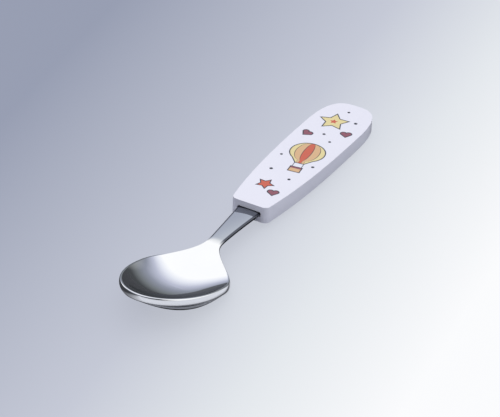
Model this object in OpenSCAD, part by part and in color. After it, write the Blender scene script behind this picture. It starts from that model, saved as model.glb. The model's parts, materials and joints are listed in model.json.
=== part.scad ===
// Baby spoon: a pressed steel blade, with bowl, neck and tang in one, cemented into a moulded handle.
// Every piece is modelled with the handle's top face level, the bowl towards -X and the butt towards +X.
// It is then laid down as the spoon rests, on the bowl's underside and on the edge of the butt.

/* [Bowl] */
// Width over the rim at the widest place
bowl_w = 30.4; // [24:0.1:38]
// Length from the widest place to the tip
bowl_front_l = 23.3; // [18:0.1:30]
// Length from the widest place back to the neck
bowl_back_l = 23.9; // [20:0.1:32]
// Depth of the hollow's lowest place below the handle's top face
bowl_drop = 7.5; // [6.5:0.1:10]
// Length from the neck to the hollow's lowest place
deep_l = 21; // [17:0.1:24]
// Thickness of the bowl at its bottom
bowl_t = 1.8; // [1:0.05:2.4]
// Thickness of the rim
rim_t = 2.6; // [1.6:0.05:3]
// Width of the rounded edge of the rim
rim_w = 0.9; // [0.6:0.05:1.8]
// Depth of the rim's middle below the handle's top face, at the widest place
rim_drop = 4.35; // [3:0.05:5.5]
// Angle by which the rim rises to the tip, against the handle
rim_angle = 15.5; // [6:0.5:20]
// Depth of the flat that the bowl rests on, against its round underside
foot_depth = 0.06; // [0.03:0.01:0.15]

/* [Neck] */
// Length between the handle and the bowl
neck_l = 20.2; // [14:0.1:28]
// Width at its narrowest place
neck_w = 5.1; // [4.5:0.1:7]
// Thickness at its edges
neck_edge_t = 1.15; // [1:0.05:2]
// Width of its rounded edges
neck_edge_w = 0.7; // [0.4:0.05:1]
// Height of the crowned middle over the edges, on each side
neck_crown = 0.15; // [0.1:0.05:0.6]
// Fall of the neck at the bowl, under the line of the tang
neck_fall = 0.35; // [0:0.05:0.8]

/* [Tang] */
// Length inside the handle
tang_l = 32; // [20:0.5:44]
// Width of the tang, and of the neck at the handle
tang_w = 8.2; // [7:0.1:10]
// Length of the narrowed end
tang_taper_l = 5; // [2:0.5:10]
// Width taken off each side at the end
tang_taper = 1.6; // [0.5:0.1:2.5]

/* [Handle] */
// Length
handle_l = 72.8; // [60:0.1:90]
// Width at the front end
handle_front_w = 12.9; // [12.2:0.1:16]
// Greatest width
handle_w = 20; // [17:0.1:26]
// Thickness at the front end
handle_front_t = 5.8; // [5.4:0.1:7]
// Thickness at the butt
handle_butt_t = 4.4; // [4:0.1:6]
// Length over which the sides open out to the greatest width
swell_l = 55; // [40:0.5:58]
// Length of the rounded butt
butt_l = 20; // [12:0.5:28]
// Radius along the top and bottom edges
edge_r = 0.9; // [0.4:0.05:1.4]
// Radius of the front corners, seen from above
corner_r = 1.6; // [1:0.1:2.5]

/* [Socket] */
// Gap between the tang and the socket's side walls
socket_side_gap = 0.2; // [0.1:0.05:0.4]
// Gap above and below the tang's crown
socket_gap = 0.2; // [0.15:0.05:0.4]
// Radius of the socket's corners
socket_r = 0.6; // [0.3:0.05:0.8]
// Room behind the tang's end
socket_end_gap = 1.2; // [0.5:0.1:3]
// Depth of the cement's face behind the handle's front
cement_setback = 1.8; // [1:0.1:3]

/* [Hidden] */
// How far a cutting tool runs past the face that it opens
overrun = 1;
// Powers of the curves
wall_power = 8;
heel_power = 1.5;
under_heel_power = 1.15;
fall_power = 3;
flare_power = 1.25;
shoulder_power = 3.5;
swell_power = 2.7;
butt_power = 3;
// Shares of an even bend in the rise from the floor of the bowl, before the steeper wall
side_share = 0.95;
under_share = 0.12;
front_share = 0.97;
// Depth of the tang's middle below the handle's top face, as a share of the front thickness
tang_depth_share = 0.52;
// Most of the half width that the rim's edge may take near the tip
rim_most_share = 0.6;
// Last section before the tip, as a share of the bowl's front length
tip_end_share = 0.998;
// Angle that sets how much closer the points lie towards the edges
across_angle = 80;
// Numbers of steps
across_steps = 9;
edge_steps = 3;
neck_steps = 9;
back_steps = 22;
front_steps = 15;
round_steps = 4;
corner_steps = 4;
side_steps = 14;
butt_steps = 10;

// Places along the blade, measured from the handle's front towards the tip
wide_s = neck_l + bowl_back_l;
tip_s = wide_s + bowl_front_l;
deep_s = neck_l + deep_l;
hollow_end_s = tip_s - rim_w;
under_end_s = tip_s - rim_w / 2;
tang_stations = [-tang_l, tang_taper_l - tang_l, 0];
neck_stations = [for (i = [1 : neck_steps]) neck_l * i / neck_steps];
back_stations = [for (i = [1 : back_steps]) neck_l + bowl_back_l * i / back_steps];
front_stations = [for (i = [1 : front_steps])
    wide_s + bowl_front_l * min(sin(90 * i / front_steps), tip_end_share)];
bowl_stations = concat(back_stations, front_stations);
blade_stations = concat(tang_stations, neck_stations, bowl_stations);

// Sizes of the socket, taken from the tang
tang_z = -handle_front_t * tang_depth_share;
tang_t = neck_edge_t + 2 * neck_crown;
socket_w = tang_w + 2 * socket_side_gap;
socket_h = tang_t + 2 * socket_gap;
socket_l = tang_l + socket_end_gap;

function clamp(v) = max(0, min(1, v));
function oval(v) = sqrt(max(0, 1 - v * v));

// Share of the bowl, against the neck, in the outline and in the height at a station
function shoulder(s) = pow(1 - pow(1 - clamp((s - neck_l) / bowl_back_l), shoulder_power), shoulder_power);

// Half width of the blade, seen from above
function tang_half(s) = tang_w / 2 - tang_taper * clamp((tang_taper_l - tang_l - s) / tang_taper_l);
function neck_half(s) = neck_w / 2 + (tang_w - neck_w) / 2 * pow(1 - clamp(s / neck_l), flare_power);
function bowl_half(s) = bowl_w / 2 * oval(clamp((s - wide_s) / bowl_front_l));
function blade_half(s) = s <= 0 ? tang_half(s)
    : neck_half(s) * (1 - shoulder(s)) + bowl_half(s) * shoulder(s);

// Height of the middle of the edge: along the tang, down the neck, then along the rising rim
function fall(v) = v < 0 ? 0 : v < 1 ? pow(v, fall_power) : 1 + fall_power * (v - 1);
function neck_z(s) = tang_z - neck_fall * fall(s / neck_l);
function rim_z(s) = (s - wide_s) * tan(rim_angle) - rim_drop;
function edge_z(s) = neck_z(s) * (1 - shoulder(s)) + rim_z(s) * shoulder(s);

// Thickness and width of the edge, rounded off at the tip
function tip_round(s) = oval(clamp((s - tip_s + rim_w / 2) / (rim_w / 2)));
function edge_t(s) = (neck_edge_t * (1 - shoulder(s)) + rim_t * shoulder(s)) * tip_round(s);
function edge_w(s) = min(neck_edge_w * (1 - shoulder(s)) + rim_w * shoulder(s),
    blade_half(s) * rim_most_share);

// Height of the hollow and of the underside along the middle: down the heel, then up to the tip
function wall(v, share) = share * v * v + (1 - share) * pow(v, wall_power);
function floor_z(s, low, start_z, power, end_s, end_z) = s > deep_s
    ? low + (end_z - low) * wall((s - deep_s) / (end_s - deep_s), front_share)
    : start_z + (low - start_z) * pow(1 - pow(clamp((deep_s - s) / deep_l), 2), power);
function hollow_z(s) = floor_z(s, -bowl_drop, edge_z(neck_l) + neck_edge_t / 2, heel_power,
    hollow_end_s, rim_z(hollow_end_s) + rim_t / 2);
function under_z(s) = floor_z(s, -bowl_drop - bowl_t, edge_z(neck_l) - neck_edge_t / 2, under_heel_power,
    under_end_s, rim_z(under_end_s) - rim_t / 2);

// Depth of both below the edge, and the neck's crown that they take over from
function hollow_depth(s) = s < neck_l || s > hollow_end_s ? 0 : edge_z(s) + edge_t(s) / 2 - hollow_z(s);
function under_depth(s) = s < neck_l || s > under_end_s ? 0 : edge_z(s) - edge_t(s) / 2 - under_z(s);
function crown(s) = neck_crown * (1 - shoulder(s));

// Thickness of the handle at a distance behind its front
function handle_t(u) = handle_front_t + (handle_butt_t - handle_front_t) * u / handle_l;

// Stance: the line that touches the flat under the bowl and the far end of the handle's underside
butt_low = [handle_l - edge_r, -handle_t(handle_l - edge_r)];
bowl_low = [for (s = bowl_stations) [-s, edge_z(s) - edge_t(s) / 2 - under_depth(s) - crown(s) + foot_depth]];
rest_slope = max([for (p = bowl_low) (p[1] - butt_low[1]) / (p[0] - butt_low[0])]);
rest_angle = atan(rest_slope);
function on_table(s, p) = [p[0], max(p[1], butt_low[1] - rest_slope * (s + butt_low[0]))];
function rest_x(p) = p[0] * cos(rest_angle) + p[1] * sin(rest_angle);
function rest_z(p) = p[1] * cos(rest_angle) - p[0] * sin(rest_angle);
rest_middle = (rest_x([-tip_s, edge_z(tip_s)]) + rest_x([handle_l, -edge_r])) / 2;

// Closed section of the blade as [y, z]: from one edge over the top, round the other edge and back below
across = [for (j = [-across_steps : across_steps]) sin(across_angle * j / across_steps) / sin(across_angle)];
up_turn = [for (i = [0 : edge_steps]) 90 * i / edge_steps];
down_turn = [for (i = [0 : 2 * edge_steps - 1]) 90 - 90 * i / edge_steps];
last_turn = [for (i = [1 : edge_steps - 1]) 90 * i / edge_steps - 90];
function skin(a, half, z, depth, share, bulge) =
    [a * half, z - depth * (1 - wall(abs(a), share)) + bulge * (1 - a * a)];
function blade_ring(s) = let (
        half = blade_half(s),
        z = edge_z(s),
        t = edge_t(s) / 2,
        w = edge_w(s) / 2
    ) concat(
        [for (f = up_turn) [half - w + w * cos(f), z + t * sin(f)]],
        [for (a = across) skin(-a, half - 2 * w, z + t, hollow_depth(s), side_share, crown(s))],
        [for (f = down_turn) [w - half - w * cos(f), z + t * sin(f)]],
        [for (a = across) on_table(s, skin(a, half - w, z - t, under_depth(s), under_share, -crown(s)))],
        [for (f = last_turn) [half - w + w * cos(f), z + t * sin(f)]]);

// Outline of the handle from above, as a half from the front to the middle of the butt
function side_half(u) = handle_front_w / 2
    + (handle_w - handle_front_w) / 2 * (1 - pow(1 - clamp(u / swell_l), swell_power));
function corner_point(f) = let (u = corner_r * (1 - cos(f))) [u, side_half(u) - corner_r * (1 - sin(f))];
function butt_point(f) = let (u = handle_l - butt_l * (1 - pow(sin(f), 2 / butt_power)))
    [u, side_half(u) * pow(cos(f), 2 / butt_power)];
side_l = handle_l - butt_l - corner_r;
half_outline = concat(
    [for (i = [0 : corner_steps]) corner_point(90 * i / corner_steps)],
    [for (i = [1 : side_steps]) let (u = corner_r + side_l * i / side_steps) [u, side_half(u)]],
    [for (i = [1 : butt_steps]) butt_point(90 * i / butt_steps)]);
half_count = len(half_outline);
outline = concat(
    [for (p = half_outline) [p[0], -p[1]]],
    [for (i = [half_count - 2 : -1 : 0]) half_outline[i]]);
outline_count = len(outline);

// Outline drawn in from the edge, square to itself
function along(i) = outline[(i + 1) % outline_count] - outline[(i + outline_count - 1) % outline_count];
function inset(i, d) = let (t = along(i) / norm(along(i))) outline[i] + d * [-t[1], t[0]];
function handle_ring(f, below) = [for (i = [0 : outline_count - 1]) let (
        p = inset(i, edge_r * (1 - cos(f))),
        z = edge_r * (1 - sin(f))
    ) [p[0], p[1], below ? z - handle_t(p[0]) : -z]];
handle_rings = concat(
    [for (i = [0 : round_steps]) handle_ring(90 - 90 * i / round_steps, false)],
    [for (i = [0 : round_steps]) handle_ring(90 * i / round_steps, true)]);

module at_rest() {
    translate([-rest_middle, 0, -rest_z(butt_low)]) rotate([0, rest_angle, 0]) children();
}

// Solid through a list of closed rings of equally many points
module loft(rings) {
    n = len(rings[0]);
    last = len(rings) - 1;
    points = [for (r = rings) each r];
    walls = [for (i = [0 : last - 1], j = [0 : n - 1]) let (
            k = (j + 1) % n,
            a = i * n + j,
            b = i * n + k,
            c = (i + 1) * n + k,
            d = (i + 1) * n + j
        ) each [[a, b, c], [a, c, d]]];
    ends = [[for (j = [n - 1 : -1 : 0]) j], [for (j = [0 : n - 1]) last * n + j]];
    polyhedron(points, concat(walls, ends));
}

module blade(stations) {
    loft([for (s = stations) [for (p = blade_ring(s)) [-s, p[0], p[1]]]]);
}

// Bar with rounded corners along the tang's line, between two places behind the handle's front
module socket_bar(from, to) {
    corner_w = socket_w - 2 * socket_r;
    corner_h = socket_h - 2 * socket_r;
    translate([from, 0, tang_z]) rotate([90, 0, 90]) linear_extrude(to - from) {
        square([socket_w, corner_h], center = true);
        square([corner_w, socket_h], center = true);
        for (side = [-1, 1], level = [-1, 1])
            translate([side * corner_w, level * corner_h] / 2) circle(socket_r, $fn = 32);
    }
}

module spoon_blade() {
    color("silver") at_rest() blade(blade_stations);
}

module handle() {
    color("white") at_rest() difference() {
        loft(handle_rings);
        socket_bar(-overrun, socket_l);
    }
}

// Cement that fills the socket round the tang
module tang_cement() {
    color("gainsboro") at_rest() difference() {
        socket_bar(cement_setback, socket_l);
        blade(tang_stations);
    }
}

spoon_blade();
handle();
tang_cement();
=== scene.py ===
"""Dresses a baby spoon: a polished steel blade set in a printed white handle, on a pale studio floor.

Pieces are shaped with the handle's top face level and its front at the origin, the bowl towards -X and the
butt towards +X, in metres. They are then laid down as the spoon rests.
"""

import json
import logging
import math
from dataclasses import dataclass, field
from enum import Enum
from typing import Any, Callable, Optional, Sequence, Union

import bmesh
import bpy
from mathutils import Matrix, Vector


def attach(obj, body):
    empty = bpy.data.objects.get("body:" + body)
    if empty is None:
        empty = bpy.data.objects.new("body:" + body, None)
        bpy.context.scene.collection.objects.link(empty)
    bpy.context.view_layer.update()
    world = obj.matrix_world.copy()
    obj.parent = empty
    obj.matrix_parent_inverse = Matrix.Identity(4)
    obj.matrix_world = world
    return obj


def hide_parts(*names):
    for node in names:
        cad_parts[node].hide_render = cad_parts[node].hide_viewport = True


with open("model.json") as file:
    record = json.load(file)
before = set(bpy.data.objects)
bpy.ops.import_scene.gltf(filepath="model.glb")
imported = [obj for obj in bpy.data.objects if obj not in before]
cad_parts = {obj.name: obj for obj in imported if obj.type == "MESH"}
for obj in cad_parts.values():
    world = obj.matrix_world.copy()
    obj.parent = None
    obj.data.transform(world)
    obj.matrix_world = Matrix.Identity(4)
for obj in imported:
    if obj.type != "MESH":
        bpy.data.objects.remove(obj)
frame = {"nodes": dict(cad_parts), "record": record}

LOG = logging.getLogger("baby_spoon")
MM = 0.001
WELD = 0.002 * MM
BUMP_DEPTH = 0.2 * MM
TINY = 1e-6
Spot = tuple[float, float]
Point = tuple[float, float, float]
Colour = tuple[float, float, float]


class Ink(Enum):
    """Colours of the print, in linear light."""

    TAN = (0.730, 0.450, 0.215)
    ORANGE = (0.640, 0.100, 0.035)
    YELLOW = (0.810, 0.690, 0.310)
    MAUVE = (0.270, 0.060, 0.090)
    NAVY = (0.012, 0.014, 0.028)


class Form(Enum):
    """Motifs of the print."""

    BALLOON = "balloon"
    STAR = "star"
    HEART = "heart"
    DOT = "dot"


def clamp(value: float) -> float:
    """Holds a value between 0 and 1."""
    return max(0.0, min(1.0, value))


class Wire:
    """A shader socket that takes part in Python sums."""

    def __init__(self, board: "Board", socket: bpy.types.NodeSocket) -> None:
        """Keeps the socket and the board that it belongs to."""
        self.board = board
        self.socket = socket

    def __add__(self, other: "Value") -> "Wire":
        """Sum."""
        return self.board.sum_of("ADD", self, other)

    def __sub__(self, other: "Value") -> "Wire":
        """Difference."""
        return self.board.sum_of("SUBTRACT", self, other)

    def __rsub__(self, other: "Value") -> "Wire":
        """Difference from a number."""
        return self.board.sum_of("SUBTRACT", other, self)

    def __mul__(self, other: "Value") -> "Wire":
        """Product."""
        return self.board.sum_of("MULTIPLY", self, other)

    def __truediv__(self, other: "Value") -> "Wire":
        """Quotient."""
        return self.board.sum_of("DIVIDE", self, other)

    def __pow__(self, other: "Value") -> "Wire":
        """Power."""
        return self.board.sum_of("POWER", self, other)

    def __abs__(self) -> "Wire":
        """Size without its sign."""
        return self.board.sum_of("ABSOLUTE", self)

    __radd__ = __add__
    __rmul__ = __mul__

    def least(self, other: "Value") -> "Wire":
        """The smaller of two values, which joins two forms."""
        return self.board.sum_of("MINIMUM", self, other)

    def most(self, other: "Value") -> "Wire":
        """The larger of two values, which keeps what two forms share."""
        return self.board.sum_of("MAXIMUM", self, other)

    def held(self) -> "Wire":
        """Holds the value between 0 and 1."""
        return self.board.sum_of("ADD", self, 0.0, held=True)


Value = Union[Wire, float]


class Board:
    """The node tree of one material or of the world."""

    def __init__(self, owner: Union[bpy.types.Material, bpy.types.World]) -> None:
        """Clears the owner's tree.

        Args:
            owner: The material or world whose nodes are laid out.
        """
        owner.use_nodes = True
        self.tree = owner.node_tree
        self.tree.nodes.clear()

    def add(self, kind: str, settings: Optional[dict[str, Any]] = None, **inputs: Any) -> bpy.types.Node:
        """Adds a node, sets it up and then fills its sockets.

        Args:
            kind: The node's type.
            settings: Properties that are set first. A key of stops takes a ramp's places and colours.
            inputs: Values or wires by socket name, with _ for a space, or in_0 and so on by place.

        Returns:
            The new node.
        """
        node = self.tree.nodes.new(kind)
        for key, value in (settings or {}).items():
            if key == "stops":
                self.set_stops(node.color_ramp, value)
            else:
                setattr(node, key, value)
        for key, value in inputs.items():
            place = key.removeprefix("in_")
            socket = node.inputs[int(place)] if place.isdigit() else node.inputs[key.replace("_", " ")]
            if isinstance(value, Wire):
                self.tree.links.new(value.socket, socket)
            else:
                socket.default_value = value
        return node

    @staticmethod
    def set_stops(ramp: bpy.types.ColorRamp, stops: Sequence[tuple[float, Colour]]) -> None:
        """Sets a ramp's stops.

        Args:
            ramp: The ramp of a new node, which has two stops.
            stops: Places and colours, at least two.
        """
        for _ in stops[2:]:
            ramp.elements.new(0.5)
        for element, (place, colour) in zip(ramp.elements, stops):
            element.position = place
            element.color = (*colour, 1.0)

    def wire(
        self, kind: str, out: Union[int, str], settings: Optional[dict[str, Any]] = None, **inputs: Any
    ) -> Wire:
        """Adds a node and returns one of its outputs."""
        return Wire(self, self.add(kind, settings, **inputs).outputs[out])

    def sum_of(self, operation: str, first: Value, second: Value = 0.0, held: bool = False) -> Wire:
        """Adds a Math node."""
        settings = {"operation": operation, "use_clamp": held}
        return self.wire("ShaderNodeMath", 0, settings, in_0=first, in_1=second)

    def mixed(self, share: Value, low: Union[Wire, Colour], high: Union[Wire, Colour]) -> Wire:
        """Mixes two colours.

        Args:
            share: Share of the second colour, from 0 to 1.
            low: Colour at 0.
            high: Colour at 1.

        Returns:
            The mixed colour.
        """
        settings = {"data_type": "RGBA", "blend_type": "MIX"}
        low = low if isinstance(low, Wire) else (*low, 1.0)
        high = high if isinstance(high, Wire) else (*high, 1.0)
        return self.wire("ShaderNodeMix", 2, settings, in_0=share, in_6=low, in_7=high)

    def place(self) -> tuple[Wire, Wire, Wire]:
        """Gives the object's own coordinates, in metres.

        Returns:
            The place along x, y and z.
        """
        spot = self.wire("ShaderNodeTexCoord", "Object")
        parts = self.add("ShaderNodeSeparateXYZ", Vector=spot)
        return Wire(self, parts.outputs[0]), Wire(self, parts.outputs[1]), Wire(self, parts.outputs[2])

    def noise(self, scale: float, detail: float, stretch: Point = (1.0, 1.0, 1.0)) -> Wire:
        """Noise on the object's coordinates.

        Args:
            scale: Grains to a metre.
            detail: Octaves.
            stretch: Scales along the axes.

        Returns:
            The noise, about 0.5 on average.
        """
        spot = self.wire("ShaderNodeTexCoord", "Object")
        turned = self.wire("ShaderNodeMapping", 0, None, Vector=spot, Scale=stretch)
        return self.wire("ShaderNodeTexNoise", 0, None, Vector=turned, Scale=scale, Detail=detail)

    def bump(self, height: Wire, strength: float) -> Wire:
        """Turns a height into a bumped normal."""
        return self.wire("ShaderNodeBump", 0, None, Height=height, Strength=strength, Distance=BUMP_DEPTH)

    def ramp(self, value: Wire, stops: Sequence[tuple[float, Colour]]) -> Wire:
        """Turns a value into a colour along stops."""
        return self.wire("ShaderNodeValToRGB", 0, {"stops": stops}, Fac=value)

    def facing(self, way: Point) -> Wire:
        """How far the world's direction points one way, from -1 to 1."""
        seen = self.wire("ShaderNodeTexCoord", "Generated")
        return self.wire("ShaderNodeVectorMath", "Value", {"operation": "DOT_PRODUCT"}, in_0=seen, in_1=way)

    def finish(self, shader: bpy.types.Node, out: str = "ShaderNodeOutputMaterial") -> None:
        """Links a shader to the output."""
        self.add(out, Surface=Wire(self, shader.outputs[0]))


@dataclass(frozen=True)
class Stance:
    """How the spoon lies: the turn and place of the handle's own frame at rest."""

    angle: float
    origin: Vector

    @classmethod
    def from_record(cls, handle_length: float) -> "Stance":
        """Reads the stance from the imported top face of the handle.

        Args:
            handle_length: Length of the handle in metres.

        Returns:
            The stance at rest.
        """
        top = next(m for m in frame["record"]["mounts"] if m["name"] == "handle_top")
        angle = math.atan2(top["axis"][0], top["axis"][2])
        along = Vector((math.cos(angle), 0.0, -math.sin(angle)))
        return cls(angle, Vector(top["pos_m"]) - along * (handle_length / 2))

    def matrix(self) -> Matrix:
        """Gives the transform from the handle's frame to the rest frame."""
        return Matrix.Translation(self.origin) @ Matrix.Rotation(self.angle, 4, "Y")

    def own_place(self, board: Board) -> tuple[Wire, Wire, Wire]:
        """Gives the place on a piece in the handle's frame, in millimetres.

        Args:
            board: The material's board.

        Returns:
            Distance behind the handle's front, distance to the side, and height over its top face.
        """
        x, y, z = board.place()
        dx = x - self.origin.x
        dz = z - self.origin.z
        turn_c = math.cos(self.angle) / MM
        turn_s = math.sin(self.angle) / MM
        return dx * turn_c - dz * turn_s, y / MM, dx * turn_s + dz * turn_c


@dataclass(frozen=True)
class PolishedSteel:
    """Mirror polished stainless steel with faint marks, with painted shade on the neck and darker painted
    shade on its edges, in place of the dark reflections there.
    """

    stance: Stance
    blade: "Blade"
    colour: Colour = (0.800, 0.810, 0.830)
    dulled: Colour = (0.760, 0.770, 0.790)
    # Painted shade of the neck and, darker, of its edges.
    neck_shade: Colour = (0.430, 0.455, 0.490)
    edge_shade: Colour = (0.090, 0.095, 0.115)
    roughness: float = 0.045
    smudge: float = 0.03
    mark_rough: float = 0.02
    mark_bump: float = 0.015
    cloud_scale: float = 70.0
    mark_scale: float = 900.0
    mark_stretch: Point = (0.06, 1.0, 1.0)
    detail: float = 2.0
    neck_fade: float = 3.0
    neck_lead: float = 0.7
    edge_fade: float = 0.25
    edge_lead: float = 3.0

    def neck(self, board: Board) -> tuple[Wire, Wire]:
        """Masks the neck and its two edges, where shade is painted.

        Args:
            board: The material's board.

        Returns:
            The mask of the whole neck and that of its edges.
        """
        back, side, _ = self.stance.own_place(board)
        flare = (1.0 - (back / -self.blade.neck_l).held()) ** self.blade.flare_power
        half = flare * ((self.blade.tang_w - self.blade.neck_w) / 2) + self.blade.neck_w / 2
        whole = ((back + self.blade.neck_l) / self.neck_fade + self.neck_lead).held()
        edges = ((abs(side) - half) / self.edge_fade + self.edge_lead).held()
        return whole, edges * whole

    def material(self) -> bpy.types.Material:
        """Lays out the finish.

        Returns:
            The material.
        """
        made = bpy.data.materials.new("polished_steel")
        board = Board(made)
        cloud = board.noise(self.cloud_scale, self.detail)
        marks = board.noise(self.mark_scale, self.detail, self.mark_stretch)
        neck, edge = self.neck(board)
        tone = board.mixed(cloud, self.colour, self.dulled)
        # Painted shade: the neck darker and its edges darker still, in place of the dark reflections they
        # show.
        tone = board.mixed(neck, tone, self.neck_shade)
        tone = board.mixed(edge, tone, self.edge_shade)
        least_rough = self.roughness - self.smudge / 2 - self.mark_rough / 2
        rough = cloud * self.smudge + marks * self.mark_rough + least_rough
        bump = board.bump(marks, self.mark_bump)
        shader = board.add(
            "ShaderNodeBsdfPrincipled", Base_Color=tone, Roughness=rough, Metallic=1.0, Normal=bump
        )
        board.finish(shader)
        return made


@dataclass(frozen=True)
class Motif:
    """One motif of the print: its form, its place on the handle and its size in millimetres."""

    form: Form
    along: float
    across: float
    size: float
    turn: float = 0.0
    ink: Ink = Ink.NAVY


@dataclass(frozen=True)
class HeartShape:
    """Half of a heart in sizes of the motif: a lobe, and a body that runs down to the tip."""

    lobe_up: float = 0.22
    lobe_side: float = 0.46
    lobe_r: float = 0.54
    tip: Spot = (-1.0, 0.0)
    hip: Spot = (-0.13, 0.86)
    body_top: float = 0.24
    body_side: float = 0.9


@dataclass(frozen=True)
class StarShape:
    """A star in sizes of the motif, with its points at 1."""

    points: int = 5
    notch_r: float = 0.52
    inner_gap: float = 0.34


@dataclass(frozen=True)
class BalloonShape:
    """A balloon in sizes of the motif: a bag that tapers to its mouth, stripes, two lines and a basket."""

    mouth: Spot = (-1.28, 0.26)
    shoulder: Spot = (-0.34, 0.94)
    stripe_reach: float = 1.06
    stripe_least: float = 0.12
    inner_stripe: float = 0.24
    outer_stripe: float = 0.66
    seam: float = 0.018
    line_up: float = -1.50
    line_side: float = 0.27
    line_half_l: float = 0.24
    line_half_w: float = 0.022
    basket_up: float = -1.96
    basket_half_l: float = 0.26
    basket_half_w: float = 0.34
    band_up: float = -1.80
    band_half_l: float = 0.07


@dataclass(frozen=True)
class PrintedPlastic:
    """Glossy white moulding with a print on its top face. Line and soft edge in millimetres."""

    stance: Stance
    motifs: tuple[Motif, ...]
    white: Colour = (0.860, 0.855, 0.915)
    shade: Colour = (0.830, 0.825, 0.890)
    line: float = 0.38
    soft: float = 0.07
    heart: HeartShape = HeartShape()
    star: StarShape = StarShape()
    balloon: BalloonShape = BalloonShape()
    cloud_scale: float = 45.0
    cloud_detail: float = 2.0
    grain_scale: float = 2600.0
    grain_detail: float = 1.0
    roughness: float = 0.20
    cloud_rough: float = 0.06
    grain_rough: float = 0.03
    cloud_height: float = 2.0
    bump: float = 0.03
    coat: float = 0.25
    coat_roughness: float = 0.08
    top_slope: float = 8.0
    top_lead: float = 1.8

    def spot(self, board: Board, motif: Motif) -> tuple[Wire, Wire]:
        """Gives the place in a motif's own frame, in sizes of the motif.

        Args:
            board: The material's board.
            motif: The motif.

        Returns:
            Distance up the motif and distance across it.
        """
        u, v, _ = self.stance.own_place(board)
        du = (u - motif.along) / motif.size
        dv = (v - motif.across) / motif.size
        turn_c, turn_s = math.cos(motif.turn), math.sin(motif.turn)
        return du * turn_c + dv * turn_s, dv * turn_c - du * turn_s

    def fill(self, inside: Wire, motif: Motif) -> Wire:
        """Turns a distance in sizes of the motif into a soft-edged mask."""
        return (0.5 - inside * (motif.size / (2 * self.soft))).held()

    def stroke(self, inside: Wire, motif: Motif) -> Wire:
        """Turns a distance into the mask of a line along the outline."""
        return self.fill(abs(inside) - self.line / (2 * motif.size), motif)

    @staticmethod
    def disc(up: Wire, side: Wire, radius: float) -> Wire:
        """Distance to a disc's edge."""
        return (up * up + side * side) ** 0.5 - radius

    @staticmethod
    def flank(up: Wire, side: Wire, first: Spot, last: Spot) -> Wire:
        """Distance outside a line that runs upwards.

        Args:
            up: Place up the motif.
            side: Place across the motif.
            first: Lower end of the line, as up and side.
            last: Upper end of the line.

        Returns:
            The distance, above 0 outside the line.
        """
        run_up, run_side = last[0] - first[0], last[1] - first[1]
        size = math.hypot(run_up, run_side)
        level = (first[0] * run_side - first[1] * run_up) / size
        return level - up * (run_side / size) + side * (run_up / size)

    def draw_dot(self, board: Board, motif: Motif, base: Wire) -> Wire:
        """Prints a dot."""
        up, side = self.spot(board, motif)
        return board.mixed(self.fill(self.disc(up, side, 1.0), motif), base, motif.ink.value)

    def draw_heart(self, board: Board, motif: Motif, base: Wire) -> Wire:
        """Prints an outlined heart.

        Args:
            board: The material's board.
            motif: The motif.
            base: Colour under the print.

        Returns:
            The colour with the motif on it.
        """
        heart = self.heart
        up, side = self.spot(board, motif)
        away = abs(side)
        lobe = self.disc(up - heart.lobe_up, away - heart.lobe_side, heart.lobe_r)
        body = self.flank(up, away, heart.tip, heart.hip)
        body = body.most(up - heart.body_top).most(away - heart.body_side)
        shape = lobe.least(body)
        base = board.mixed(self.fill(shape, motif), base, motif.ink.value)
        return board.mixed(self.stroke(shape, motif), base, Ink.NAVY.value)

    def draw_star(self, board: Board, motif: Motif, base: Wire) -> Wire:
        """Prints an outlined star with a smaller one inside it.

        Args:
            board: The material's board.
            motif: The motif.
            base: Colour under the print.

        Returns:
            The colour with the motif on it.
        """
        star = self.star
        step = math.pi / star.points
        up, side = self.spot(board, motif)
        reach = (up * up + side * side) ** 0.5
        turn = board.sum_of("PINGPONG", board.sum_of("ARCTAN2", side, up), step)
        tip_up = reach * board.sum_of("COSINE", turn)
        tip_side = reach * board.sum_of("SINE", turn)
        notch = (star.notch_r * math.cos(step), star.notch_r * math.sin(step))
        shape = self.flank(tip_up, tip_side, notch, (1.0, 0.0))
        base = board.mixed(self.fill(shape, motif), base, motif.ink.value)
        base = board.mixed(self.fill(shape + star.inner_gap, motif), base, Ink.ORANGE.value)
        return board.mixed(self.stroke(shape, motif), base, Ink.NAVY.value)

    def draw_balloon(self, board: Board, motif: Motif, base: Wire) -> Wire:
        """Prints an outlined balloon with stripes, lines and a basket.

        Args:
            board: The material's board.
            motif: The motif.
            base: Colour under the print.

        Returns:
            The colour with the motif on it.
        """
        form = self.balloon
        up, side = self.spot(board, motif)
        away = abs(side)
        taper = self.flank(up, away, form.mouth, form.shoulder)
        taper = taper.most(form.mouth[0] - up).most(up - form.shoulder[0])
        bag = self.disc(up, side, 1.0).least(taper)
        stripe = away / (form.stripe_reach - up * up).most(form.stripe_least) ** 0.5
        base = board.mixed(self.fill(bag, motif), base, Ink.TAN.value)
        base = board.mixed(self.fill(bag.most(stripe - form.inner_stripe), motif), base, Ink.ORANGE.value)
        base = board.mixed(self.fill(bag.most(form.outer_stripe - stripe), motif), base, Ink.YELLOW.value)
        seams = abs(stripe - form.inner_stripe).least(abs(stripe - form.outer_stripe)) - form.seam
        base = board.mixed(self.fill(bag.most(seams), motif), base, Ink.NAVY.value)
        base = board.mixed(self.stroke(bag, motif), base, Ink.NAVY.value)
        lines = abs(away - form.line_side) - form.line_half_w
        lines = lines.most(abs(up - form.line_up) - form.line_half_l)
        base = board.mixed(self.fill(lines, motif), base, Ink.NAVY.value)
        basket = (away - form.basket_half_w).most(abs(up - form.basket_up) - form.basket_half_l)
        base = board.mixed(self.fill(basket, motif), base, Ink.TAN.value)
        band = basket.most(abs(up - form.band_up) - form.band_half_l)
        base = board.mixed(self.fill(band, motif), base, Ink.MAUVE.value)
        return board.mixed(self.stroke(basket, motif), base, Ink.NAVY.value)

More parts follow.
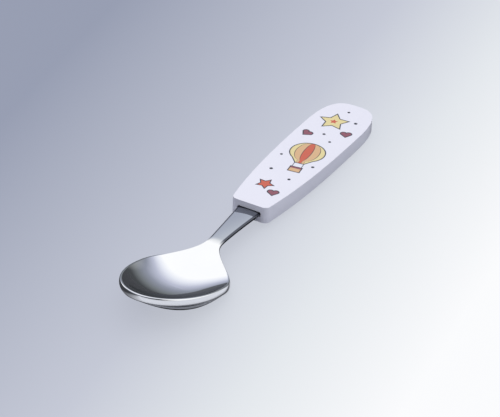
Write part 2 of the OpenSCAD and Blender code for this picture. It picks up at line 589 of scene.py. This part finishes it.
    def material(self) -> bpy.types.Material:
        """Lays out the finish.

        Returns:
            The material.
        """
        made = bpy.data.materials.new("printed_white_plastic")
        board = Board(made)
        cloud = board.noise(self.cloud_scale, self.cloud_detail)
        grain = board.noise(self.grain_scale, self.grain_detail)
        plain = board.mixed(cloud, self.white, self.shade)
        draw: dict[Form, Callable[[Board, Motif, Wire], Wire]] = {
            Form.DOT: self.draw_dot,
            Form.HEART: self.draw_heart,
            Form.STAR: self.draw_star,
            Form.BALLOON: self.draw_balloon,
        }
        printed = plain
        for motif in self.motifs:
            printed = draw[motif.form](board, motif, printed)
        _, _, height = self.stance.own_place(board)
        on_top = (height * self.top_slope + self.top_lead).held()
        tone = board.mixed(on_top, plain, printed)
        rough = cloud * self.cloud_rough + grain * self.grain_rough + self.roughness
        shader = board.add(
            "ShaderNodeBsdfPrincipled",
            Base_Color=tone,
            Roughness=rough,
            Normal=board.bump(grain + cloud * self.cloud_height, self.bump),
            Coat_Weight=self.coat,
            Coat_Roughness=self.coat_roughness,
        )
        board.finish(shader)
        return made


@dataclass(frozen=True)
class CuredCement:
    """Cured resin that shows only deep in the mouth of the socket."""

    colour: Colour = (0.085, 0.085, 0.090)
    dark: Colour = (0.045, 0.045, 0.050)
    grain_scale: float = 1500.0
    detail: float = 3.0
    roughness: float = 0.6
    grain_rough: float = 0.2
    bump: float = 0.3

    def material(self) -> bpy.types.Material:
        """Lays out the finish.

        Returns:
            The material.
        """
        made = bpy.data.materials.new("cured_cement")
        board = Board(made)
        grain = board.noise(self.grain_scale, self.detail)
        tone = board.mixed(grain, self.dark, self.colour)
        rough = grain * self.grain_rough + self.roughness
        bump = board.bump(grain, self.bump)
        board.finish(board.add("ShaderNodeBsdfPrincipled", Base_Color=tone, Roughness=rough, Normal=bump))
        return made


class Bench:
    """A mesh that is shaped in edit mode, loop by loop, from a circle."""

    def __init__(self, name: str, loop: Sequence[Point]) -> None:
        """Adds a circle and lays its points on the first loop.

        Args:
            name: The piece's name.
            loop: Points of the first closed loop.
        """
        bpy.ops.object.select_all(action="DESELECT")
        bpy.ops.mesh.primitive_circle_add(vertices=len(loop), radius=1.0, fill_type="NOTHING")
        self.piece = bpy.context.object
        self.piece.name = name
        self.piece.data.name = name
        bpy.ops.object.mode_set(mode="EDIT")
        bpy.ops.mesh.select_mode(type="VERT")
        self.loop = list(range(len(loop)))
        self.lay(loop)

    def mesh(self) -> bmesh.types.BMesh:
        """Gives the mesh in edit mode.

        Returns:
            The mesh, with its points ready for look-up.
        """
        made = bmesh.from_edit_mesh(self.piece.data)
        made.verts.ensure_lookup_table()
        return made

    def lay(self, points: Sequence[Point]) -> None:
        """Moves the points of the current loop.

        Args:
            points: New places, one for each point.
        """
        made = self.mesh()
        for place, point in zip(self.loop, points):
            made.verts[place].co = point
        bmesh.update_edit_mesh(self.piece.data)

    def pick(self, places: Sequence[int]) -> None:
        """Selects points, and the edges between them, and nothing else.

        Args:
            places: Numbers of the points.
        """
        bpy.ops.mesh.select_all(action="DESELECT")
        made = self.mesh()
        for place in places:
            made.verts[place].select = True
        made.select_flush(True)
        bmesh.update_edit_mesh(self.piece.data)

    def extend(self, points: Sequence[Point]) -> None:
        """Extrudes the current loop and lays the new one down.

        Args:
            points: Places of the new loop.
        """
        self.pick(self.loop)
        bpy.ops.mesh.extrude_edges_move()
        made = self.mesh()
        old = set(self.loop)
        new = {e.other_vert(v).index: v.index for v in made.verts if v.select for e in v.link_edges
               if e.other_vert(v).index in old}
        self.loop = [new[place] for place in self.loop]
        self.lay(points)

    def cap(self, places: Sequence[int]) -> None:
        """Closes a loop with a face."""
        self.pick(places)
        bpy.ops.mesh.edge_face_add()

    def close(self) -> bpy.types.Object:
        """Merges what meets, turns the faces outwards and leaves edit mode.

        Returns:
            The piece.
        """
        bpy.ops.mesh.select_all(action="SELECT")
        bpy.ops.mesh.remove_doubles(threshold=WELD)
        bpy.ops.mesh.normals_make_consistent(inside=False)
        bpy.ops.object.mode_set(mode="OBJECT")
        return self.piece


def finish_with(piece: bpy.types.Object, kind: str, **settings: Any) -> None:
    """Adds a modifier and applies it.

    Args:
        piece: The piece.
        kind: The modifier's type.
        settings: Its properties.
    """
    bpy.ops.object.select_all(action="DESELECT")
    piece.select_set(True)
    bpy.context.view_layer.objects.active = piece
    made = piece.modifiers.new(kind.lower(), kind)
    for key, value in settings.items():
        setattr(made, key, value)
    bpy.ops.object.modifier_apply(modifier=made.name)


def dress(piece: bpy.types.Object, material: bpy.types.Material) -> None:
    """Gives a piece one material."""
    piece.data.materials.clear()
    piece.data.materials.append(material)


@dataclass
class Blade:
    """The steel blade: bowl, neck and tang in one. Sizes in millimetres, as in the part's source."""

    bowl_w: float = 30.4
    front_l: float = 23.3
    back_l: float = 23.9
    deep_l: float = 21.0
    low_z: float = -7.5
    bowl_t: float = 1.8
    rim_t: float = 2.6
    rim_w: float = 0.9
    rim_drop: float = 4.35
    rim_angle: float = 15.5
    neck_l: float = 20.2
    neck_w: float = 5.1
    neck_edge_t: float = 1.15
    neck_edge_w: float = 0.7
    neck_crown: float = 0.15
    neck_fall: float = 0.35
    tang_l: float = 32.0
    tang_w: float = 8.2
    tang_taper_l: float = 5.0
    tang_taper: float = 1.6
    tang_z: float = -3.016
    wall_power: float = 8.0
    side_share: float = 0.95
    under_share: float = 0.12
    front_share: float = 0.97
    heel_power: float = 1.5
    under_heel_power: float = 1.15
    fall_power: float = 3.0
    flare_power: float = 1.25
    shoulder_power: float = 3.5
    crisp_inset: float = 1.85
    edge_share: float = 0.6
    lean: float = 80.0
    crisp_share: float = 0.992
    tang_end_l: float = 0.4
    mouth_l: float = 2.0
    smooth_levels: int = 2
    across_steps: int = 11
    edge_steps: int = 4
    neck_steps: int = 12
    back_steps: int = 26
    front_steps: int = 40
    turns: tuple[float, ...] = field(init=False)
    shares: tuple[float, ...] = field(init=False)

    def __post_init__(self) -> None:
        """Sets the turns round the edge and the shares across a skin, one near the end for a crisp rim."""
        steps = 2 * self.edge_steps
        self.turns = tuple(math.pi / 2 - math.pi * i / steps for i in range(steps))
        lean = math.radians(self.lean)
        even = [math.sin(lean * j / self.across_steps) / math.sin(lean) for j in range(self.across_steps)]
        self.shares = (*even, self.crisp_share, 1.0)

    @property
    def wide(self) -> float:
        """Place of the widest section, ahead of the handle's front."""
        return self.neck_l + self.back_l

    def shoulder(self, s: float) -> float:
        """Share of the bowl, against the neck, at a section."""
        left = 1 - clamp((s - self.neck_l) / self.back_l)
        return (1 - left**self.shoulder_power) ** self.shoulder_power

    def half(self, s: float) -> float:
        """Half width of the blade, up to the widest section.

        Args:
            s: Place ahead of the handle's front.

        Returns:
            The half width.
        """
        if s <= 0:
            end = clamp((self.tang_taper_l - self.tang_l - s) / self.tang_taper_l)
            return self.tang_w / 2 - self.tang_taper * end
        flare = (1 - clamp(s / self.neck_l)) ** self.flare_power
        neck = self.neck_w / 2 + (self.tang_w - self.neck_w) / 2 * flare
        return neck + (self.bowl_w / 2 - neck) * self.shoulder(s)

    def rim_z(self, s: float) -> float:
        """Height of the rim's middle along its rising line."""
        return (s - self.wide) * math.tan(math.radians(self.rim_angle)) - self.rim_drop

    def edge_z(self, s: float) -> float:
        """Height of the middle of the edge at a section.

        Args:
            s: Place ahead of the handle's front.

        Returns:
            The height.
        """
        run = s / self.neck_l
        fall = max(0.0, run) ** self.fall_power if run < 1 else 1 + self.fall_power * (run - 1)
        neck = self.tang_z - self.neck_fall * fall
        return neck + (self.rim_z(s) - neck) * self.shoulder(s)

    def wall(self, run: float, share: float) -> float:
        """Rise of a skin from the floor of the bowl to its edge, an even bend and then a steeper wall."""
        return share * run * run + (1 - share) * run ** self.wall_power

    def floor_z(self, s: float, low: float, tip: tuple[float, float], neck_z: float, power: float) -> float:
        """Height of a skin of the bowl along its middle.

        Args:
            s: Place ahead of the handle's front.
            low: Height of the lowest point.
            tip: Place and height of the end at the tip.
            neck_z: Height of the end at the neck.
            power: Power of the rise to the neck.

        Returns:
            The height.
        """
        deep = self.neck_l + self.deep_l
        if s > deep:
            return low + (tip[1] - low) * self.wall((s - deep) / (tip[0] - deep), self.front_share)
        run = clamp((deep - s) / self.deep_l)
        return neck_z + (low - neck_z) * (1 - run * run) ** power

    def depth(self, s: float, upper: bool) -> float:
        """Depth of a skin of the bowl below the edge, along its middle.

        Args:
            s: Place ahead of the handle's front.
            upper: Whether the skin is the upper one.

        Returns:
            The depth below the top or the bottom of the edge.
        """
        if s <= self.neck_l:
            return 0.0
        side = 1 if upper else -1
        tip_s = self.wide + self.front_l - self.rim_w * (1.0 if upper else 0.5)
        tip = (tip_s, self.rim_z(tip_s) + side * self.rim_t / 2)
        low = self.low_z - (0.0 if upper else self.bowl_t)
        neck = self.edge_z(self.neck_l) + side * self.neck_edge_t / 2
        power = self.heel_power if upper else self.under_heel_power
        return self.edge_z(s) + side * self.thickness(s) / 2 - self.floor_z(s, low, tip, neck, power)

    def bend(self, upper: bool) -> float:
        """Share of the even bend in a skin's rise."""
        return self.side_share if upper else self.under_share

    def thickness(self, s: float) -> float:
        """Thickness of the edge."""
        return self.neck_edge_t + (self.rim_t - self.neck_edge_t) * self.shoulder(s)

    def section(self, s: float) -> list[Point]:
        """Half of a section of the tang, neck or heel.

        Args:
            s: Place ahead of the handle's front.

        Returns:
            Points from the middle of the top round one edge to the middle of the underside.
        """
        half, z, thick = self.half(s), self.edge_z(s), self.thickness(s) / 2
        edge_w = self.neck_edge_w + (self.rim_w - self.neck_edge_w) * self.shoulder(s)
        wide = min(edge_w, half * self.edge_share) / 2
        crown = self.neck_crown * (1 - self.shoulder(s))
        sunk, outer = self.depth(s, True), self.depth(s, False)
        top = []
        below = []
        for a in self.shares:
            bulge = crown * (1 - a * a)
            dip = sunk * (1 - self.wall(a, self.bend(True)))
            belly = outer * (1 - self.wall(a, self.bend(False)))
            top.append((a * (half - 2 * wide), z + thick - dip + bulge))
            below.append((a * (half - wide), z - thick - belly - bulge))
        edge = [(half - self.crisp_inset * wide, z + thick)]
        edge += [(half - wide + wide * math.cos(f), z + thick * math.sin(f)) for f in self.turns]
        return [(-s * MM, y * MM, h * MM) for y, h in top + edge + below[::-1]]

    def front_section(self, turn: float) -> list[Point]:
        """Half section of the bowl's front, from the middle of the widest place outwards.

        Args:
            turn: Turn round the bowl, from 0 at one side to pi at the other.

        Returns:
            Points from the middle of the top round the edge to the middle of the underside.
        """
        rim = Vector((self.front_l * math.sin(turn), self.bowl_w / 2 * math.cos(turn)))
        out = Vector((math.sin(turn) / self.front_l, math.cos(turn) / (self.bowl_w / 2))).normalized()
        thick, wide = self.rim_t / 2, self.rim_w / 2

        def skin(a: float, margin: float, upper: bool) -> Point:
            """A point of a skin.

            Args:
                a: Share of the way out.
                margin: Distance from the rim at which the way ends.
                upper: Whether the skin is the upper one.

            Returns:
                The point.
            """
            plan = (rim - out * margin) * a
            ahead = a * math.sin(turn)
            aside = a * abs(math.cos(turn)) / max(math.sqrt(max(0.0, 1 - ahead * ahead)), TINY)
            sunk = self.depth(self.wide + ahead * (self.front_l - margin), upper)
            lift = (thick if upper else -thick) - sunk * (1 - self.wall(min(1.0, aside), self.bend(upper)))
            return spot(plan, lift)

        def spot(plan: Vector, lift: float) -> Point:
            """A point over a place in plan, at a height over the rim's line."""
            s = self.wide + plan.x
            return (-s * MM, plan.y * MM, (self.rim_z(s) + lift) * MM)

        top = [skin(a, 2 * wide, True) for a in self.shares]
        edge = [spot(rim - out * self.crisp_inset * wide, thick)]
        edge += [spot(rim - out * wide + out * wide * math.cos(f), thick * math.sin(f)) for f in self.turns]
        below = [skin(a, wide, False) for a in self.shares]
        return top + edge + below[::-1]

    def stations(self) -> list[float]:
        """Lists the sections from the tang's end to the widest place.

        Returns:
            Their places ahead of the handle's front.
        """
        tang = [-self.tang_l, self.tang_end_l - self.tang_l, self.tang_taper_l - self.tang_l]
        tang += [-self.tang_l / 2, -self.mouth_l, 0.0]
        neck = [self.neck_l * i / self.neck_steps for i in range(1, self.neck_steps + 1)]
        back = [self.neck_l + self.back_l * i / self.back_steps for i in range(1, self.back_steps + 1)]
        return tang + neck + back

    def build(self, stance: Stance) -> bpy.types.Object:
        """Extrudes the sections up to the widest place, then sweeps the front round it.

        Args:
            stance: How the spoon lies.

        Returns:
            The blade at rest.
        """
        loops = []
        for s in self.stations():
            half = self.section(s)
            loops.append(half + [(x, -y, z) for x, y, z in half[-2:0:-1]])
        bench = Bench("blade", loops[0])
        start = list(bench.loop)
        for loop in loops[1:]:
            bench.extend(loop)
        bench.loop = bench.loop[: len(loops[0]) // 2 + 1]
        for k in range(1, self.front_steps + 1):
            bench.extend(self.front_section(math.pi * k / self.front_steps))
        bench.cap(start)
        piece = bench.close()
        finish_with(piece, "SUBSURF", levels=self.smooth_levels, render_levels=self.smooth_levels)
        bpy.ops.object.shade_smooth()
        piece.data.transform(stance.matrix())
        # The flat that the bowl rests on.
        for vertex in piece.data.vertices:
            vertex.co.z = max(vertex.co.z, 0.0)
        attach(piece, "root")
        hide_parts("spoon_blade")
        return piece


@dataclass
class Handle:
    """The moulded handle. Sizes in millimetres, as in the part's source."""

    length: float = 72.8
    front_w: float = 12.9
    width: float = 20.0
    front_t: float = 5.8
    butt_t: float = 4.4
    swell_l: float = 55.0
    butt_l: float = 20.0
    edge_r: float = 0.9
    corner_r: float = 1.6
    swell_power: float = 2.7
    butt_power: float = 3.0
    socket_w: float = 8.6
    socket_h: float = 1.85
    socket_r: float = 0.6
    socket_l: float = 33.2
    socket_z: float = -3.016
    socket_over: float = 1.0
    socket_segments: int = 5
    edge_segments: int = 7
    edge_inset: float = 0.35
    side_points: int = 4
    cap_points: int = 40
    smooth_angle: float = 40.0
    corner_steps: int = 8
    side_steps: int = 30
    butt_steps: int = 26

    def side(self, u: float) -> float:
        """Half width of the handle behind its front."""
        swell = 1 - (1 - clamp(u / self.swell_l)) ** self.swell_power
        return self.front_w / 2 + (self.width - self.front_w) / 2 * swell

    def outline(self) -> list[Spot]:
        """Draws the outline from above, from the front along one side, round the butt and back.

        Returns:
            Places behind the handle's front and to the side.
        """
        half = []
        for i in range(self.corner_steps + 1):
            f = math.pi / 2 * i / self.corner_steps
            u = self.corner_r * (1 - math.cos(f))
            half.append((u, self.side(u) - self.corner_r * (1 - math.sin(f))))
        run = self.length - self.butt_l - self.corner_r
        for i in range(1, self.side_steps + 1):
            u = self.corner_r + run * i / self.side_steps
            half.append((u, self.side(u)))
        for i in range(1, self.butt_steps + 1):
            f = math.pi / 2 * i / self.butt_steps
            u = self.length - self.butt_l * (1 - math.sin(f) ** (2 / self.butt_power))
            half.append((u, self.side(u) * max(0.0, math.cos(f)) ** (2 / self.butt_power)))
        return [(u, -v) for u, v in half] + half[-2::-1]

    def thickness(self, u: float) -> float:
        """Thickness behind the front."""
        return self.front_t + (self.butt_t - self.front_t) * u / self.length

    def socket(self) -> bpy.types.Object:
        """Makes the bar that cuts the socket.

        Returns:
            The bar, which stands out ahead of the handle's front.
        """
        bpy.ops.object.select_all(action="DESELECT")
        middle = ((self.socket_l - self.socket_over) / 2 * MM, 0.0, self.socket_z * MM)
        size = ((self.socket_l + self.socket_over) * MM, self.socket_w * MM, self.socket_h * MM)
        bpy.ops.mesh.primitive_cube_add(size=1.0, location=middle, scale=size)
        bar = bpy.context.object
        bpy.ops.object.transform_apply(location=True, rotation=True, scale=True)
        bpy.ops.object.mode_set(mode="EDIT")
        bpy.ops.mesh.select_mode(type="EDGE")
        bpy.ops.mesh.select_all(action="DESELECT")
        made = bmesh.from_edit_mesh(bar.data)
        for edge in made.edges:
            first, last = (v.co for v in edge.verts)
            edge.select = abs(first.x - last.x) > self.socket_l * MM / 2
        bmesh.update_edit_mesh(bar.data)
        bpy.ops.mesh.bevel(offset=self.socket_r * MM, segments=self.socket_segments, affect="EDGES")
        bpy.ops.object.mode_set(mode="OBJECT")
        return bar

    def build(self, stance: Stance) -> bpy.types.Object:
        """Raises the handle from its outline, rounds its edges and cuts the socket.

        Args:
            stance: How the spoon lies.

        Returns:
            The handle at rest.
        """
        plan = self.outline()
        bench = Bench("handle_body", [(u * MM, v * MM, 0.0) for u, v in plan])
        top = list(bench.loop)
        bench.extend([(u * MM, v * MM, -self.thickness(u) * MM) for u, v in plan])
        bench.cap(bench.loop)
        bench.cap(top)
        piece = bench.close()
        bpy.ops.object.mode_set(mode="EDIT")
        bpy.ops.mesh.select_mode(type="FACE")
        bpy.ops.mesh.select_all(action="DESELECT")
        made = bmesh.from_edit_mesh(piece.data)
        for face in made.faces:
            face.select = len(face.verts) > self.side_points
        made.select_flush(True)
        bmesh.update_edit_mesh(piece.data)
        bpy.ops.mesh.region_to_loop()
        bpy.ops.mesh.bevel(offset=self.edge_r * MM, segments=self.edge_segments, affect="EDGES")
        made = bmesh.from_edit_mesh(piece.data)
        bpy.ops.mesh.select_mode(type="FACE")
        bpy.ops.mesh.select_all(action="DESELECT")
        for face in made.faces:
            face.select = len(face.verts) > self.cap_points
        bmesh.update_edit_mesh(piece.data)
        bpy.ops.mesh.inset(thickness=self.edge_inset * MM)
        bpy.ops.object.mode_set(mode="OBJECT")
        bar = self.socket()
        finish_with(piece, "BOOLEAN", operation="DIFFERENCE", object=bar, solver="EXACT")
        bpy.data.objects.remove(bar)
        bpy.ops.object.shade_smooth_by_angle(angle=math.radians(self.smooth_angle))
        piece.data.transform(stance.matrix())
        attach(piece, "root")
        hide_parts("handle")
        return piece


@dataclass
class Studio:
    """Floor, world and camera, in metres. The camera's aim and ways are in the handle's frame."""

    eye_distance: float = 0.9
    aim: Point = (0.5 * MM, 0.0, 0.0)
    ahead: Point = (0.7403, 0.4048, -0.5368)
    up: Point = (0.4494, 0.2960, 0.8429)
    focal_pixels: float = 2827.0
    drop_pixels: float = 6.15
    image_width: int = 500
    sensor_width: float = 36.0
    clip_start: float = 0.01
    box_way: Point = (-0.1, 0.3, 0.95)
    box_along: Point = (-0.15, 0.93, -0.33)
    box_stretch: float = 0.6
    box_fall: float = 0.25
    far_way: Point = (1.0, 0.0, 0.0)
    far_slope: float = 2.5
    box: tuple[tuple[float, Colour], ...] = (
        (0.00, (0.06, 0.065, 0.07)),
        (0.12, (0.16, 0.175, 0.185)),
        (0.30, (0.27, 0.29, 0.35)),
        (0.47, (0.50, 0.52, 0.63)),
        (0.60, (0.80, 0.82, 0.89)),
        (0.70, (1.0, 1.0, 1.0)),
    )
    side_way: Point = (0.4, -0.9, 0.1)
    side: tuple[tuple[float, Colour], ...] = (
        (0.45, (0.0, 0.0, 0.0)),
        (0.66, (0.35, 0.35, 0.35)),
        (0.92, (1.0, 1.0, 1.0)),
    )
    sky_way: Point = (0.32, 0.10, 0.94)
    sky: tuple[tuple[float, Colour], ...] = (
        (0.0, (0.0, 0.0, 0.0)), (0.5, (0.44, 0.455, 0.54)), (1.0, (1.0, 1.0, 1.0)))
    seen_power: float = 1.25
    lit_power: float = 1.58
    backdrop: Colour = (0.80, 0.82, 0.86)
    paint: tuple[tuple[float, Colour], ...] = (
        (0.00, (0.31, 0.34, 0.44)),
        (0.50, (0.56, 0.585, 0.67)),
        (0.75, (0.78, 0.81, 0.84)),
        (1.00, (0.97, 0.975, 0.98)),
    )
    # Painted shadow and light of the floor round the bowl, as the steel sees it.
    mirrored_paint: tuple[tuple[float, Colour], ...] = (
        (0.38, (0.03, 0.03, 0.03)),
        (0.42, (0.55, 0.56, 0.58)),
        (0.47, (0.62, 0.63, 0.65)),
        (0.50, (0.10, 0.10, 0.11)),
        (0.54, (0.10, 0.10, 0.11)),
        (0.57, (0.55, 0.56, 0.58)),
        (0.64, (0.92, 0.93, 0.94)),
    )
    unlit: Colour = (0.035, 0.038, 0.042)
    dimming: float = 0.88
    evenness: float = 0.82
    floor_size: float = 6.0
    floor_roughness: float = 0.6
    paint_way: Spot = (0.105, -0.995)
    paint_run: float = 0.18
    paint_middle: float = 0.556
    bowl_x: float = -0.046
    bowl_reach: Spot = (0.024, 0.0152)
    mirrored_run: float = 2.0
    near_way: Spot = (0.35, 0.9)
    near_slope: float = 40.0

    def camera(self, stance: Stance) -> bpy.types.Object:
        """Sets the camera at the photograph's viewing angle.

        Args:
            stance: How the spoon lies.

        Returns:
            The camera.
        """
        ahead = Vector(self.ahead).normalized()
        right = ahead.cross(Vector(self.up)).normalized()
        up = right.cross(ahead)
        drop = self.drop_pixels * self.eye_distance / self.focal_pixels
        spot = Vector(self.aim) - ahead * self.eye_distance - up * drop
        data = bpy.data.cameras.new("camera")
        data.sensor_width = self.sensor_width
        data.lens = self.focal_pixels / self.image_width * data.sensor_width
        data.clip_start = self.clip_start
        made = bpy.data.objects.new("camera", data)
        bpy.context.scene.collection.objects.link(made)
        turn = Matrix((right, up, -ahead)).transposed().to_4x4()
        made.matrix_world = stance.matrix() @ Matrix.Translation(spot) @ turn
        bpy.context.scene.camera = made
        return made

    def floor(self) -> bpy.types.Object:
        """Lays the pale floor, darker towards the back left.

        The steel sees it unlit on the far side, and on the near side in bands of painted shadow and light
        round the bowl.

        Returns:
            The floor.
        """
        bpy.ops.object.select_all(action="DESELECT")
        bpy.ops.mesh.primitive_plane_add(size=self.floor_size)
        made = bpy.context.object
        made.name = "floor"
        paint = bpy.data.materials.new("floor_paint")
        board = Board(paint)
        x, y, _ = board.place()
        run = x * self.paint_way[0] + y * self.paint_way[1]
        plain = board.ramp(run / self.paint_run + self.paint_middle, self.paint)
        from_bowl = x - self.bowl_x
        ahead = (from_bowl / self.bowl_reach[0]).least(0.0)
        away = (ahead * ahead + y * y / self.bowl_reach[1] ** 2) ** 0.5
        near = from_bowl * self.near_way[0] + y * self.near_way[1]
        near_side = (0.5 - near * self.near_slope).held()
        # Painted shadow round the bowl, in bands that only the steel sees.
        shadow_bands = board.ramp(away / self.mirrored_run, self.mirrored_paint)
        mirrored = board.mixed(near_side, self.unlit, shadow_bands)
        glossy = board.wire("ShaderNodeLightPath", "Is Glossy Ray")
        camera = board.wire("ShaderNodeLightPath", "Is Camera Ray")
        tone = board.mixed(glossy, plain, mirrored)
        shaded = board.wire(
            "ShaderNodeBsdfPrincipled", 0, None, Base_Color=tone, Roughness=self.floor_roughness
        )
        even = board.wire("ShaderNodeEmission", 0, None, Color=plain, Strength=1.0)
        share = camera * self.evenness
        board.finish(board.add("ShaderNodeMixShader", in_0=share, in_1=shaded, in_2=even))
        dress(made, paint)
        return made

    def light(self) -> None:
        """Lights the scene from overhead.

        The steel sees a soft box above and a bright side, both dimmer at a second reflection. The camera sees
        a plain backdrop.
        """
        scene = bpy.context.scene
        scene.view_settings.view_transform = "Standard"
        scene.world = scene.world or bpy.data.worlds.new("room")
        board = Board(scene.world)
        above = board.ramp(board.facing(self.sky_way), self.sky)
        along = board.facing(self.box_along)
        far = (board.facing(self.far_way) * self.far_slope + 0.5).held()
        stretch = along * along * far * self.box_stretch - (1.0 - far) * self.box_fall
        box = board.ramp(board.facing(self.box_way) + stretch, self.box)
        side = board.ramp(board.facing(self.side_way), self.side)
        glossy = board.wire("ShaderNodeLightPath", "Is Glossy Ray")
        camera = board.wire("ShaderNodeLightPath", "Is Camera Ray")
        bounce = board.wire("ShaderNodeLightPath", "Glossy Depth")
        seen = board.mixed(side, box, (1.0, 1.0, 1.0))
        seen = board.mixed((bounce - 1.0).held() * self.dimming, seen, self.unlit)
        lit_shader = board.wire("ShaderNodeBackground", 0, None, Color=above, Strength=self.lit_power)
        seen_shader = board.wire("ShaderNodeBackground", 0, None, Color=seen, Strength=self.seen_power)
        backdrop = (*self.backdrop, 1.0)
        plain_shader = board.wire("ShaderNodeBackground", 0, None, Color=backdrop, Strength=1.0)
        both = board.wire("ShaderNodeMixShader", 0, None, in_0=glossy, in_1=lit_shader, in_2=seen_shader)
        every = board.add("ShaderNodeMixShader", in_0=camera, in_1=both, in_2=plain_shader)
        board.finish(every, "ShaderNodeOutputWorld")


PRINT = (
    Motif(Form.BALLOON, 37.4, -0.5, 5.9, 0.14),
    Motif(Form.STAR, 59.6, 1.8, 5.2, 0.25, Ink.YELLOW),
    Motif(Form.STAR, 13.0, 1.6, 3.0, -0.2, Ink.ORANGE),
    Motif(Form.HEART, 9.6, -3.2, 1.9, 0.3, Ink.MAUVE),
    Motif(Form.HEART, 48.4, 5.8, 1.9, -0.3, Ink.MAUVE),
    Motif(Form.HEART, 54.4, -5.6, 1.9, 0.35, Ink.MAUVE),
    Motif(Form.DOT, 19.4, -3.6, 0.55),
    Motif(Form.DOT, 22.2, 4.6, 0.6),
    Motif(Form.DOT, 30.2, -6.4, 0.55),
    Motif(Form.DOT, 31.8, 6.2, 0.5),
    Motif(Form.DOT, 47.2, -3.4, 0.5),
    Motif(Form.DOT, 50.6, 0.6, 0.55),
    Motif(Form.DOT, 62.4, -5.0, 0.6),
    Motif(Form.DOT, 67.6, 0.4, 0.5),
)


def main() -> None:
    """Builds and dresses the spoon, then the studio round it."""
    logging.basicConfig(level=logging.INFO, format="%(name)s: %(message)s")
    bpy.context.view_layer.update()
    handle = Handle()
    stance = Stance.from_record(handle.length * MM)
    body = handle.build(stance)
    dress(body, PrintedPlastic(stance, PRINT).material())
    LOG.info("handle: %d points", len(body.data.vertices))
    shape = Blade()
    blade = shape.build(stance)
    dress(blade, PolishedSteel(stance, shape).material())
    LOG.info("blade: %d points", len(blade.data.vertices))
    dress(frame["nodes"]["tang_cement"], CuredCement().material())
    studio = Studio()
    studio.floor()
    studio.light()
    studio.camera(stance)
    LOG.info("studio is set")


if __name__ == "__main__":
    main()
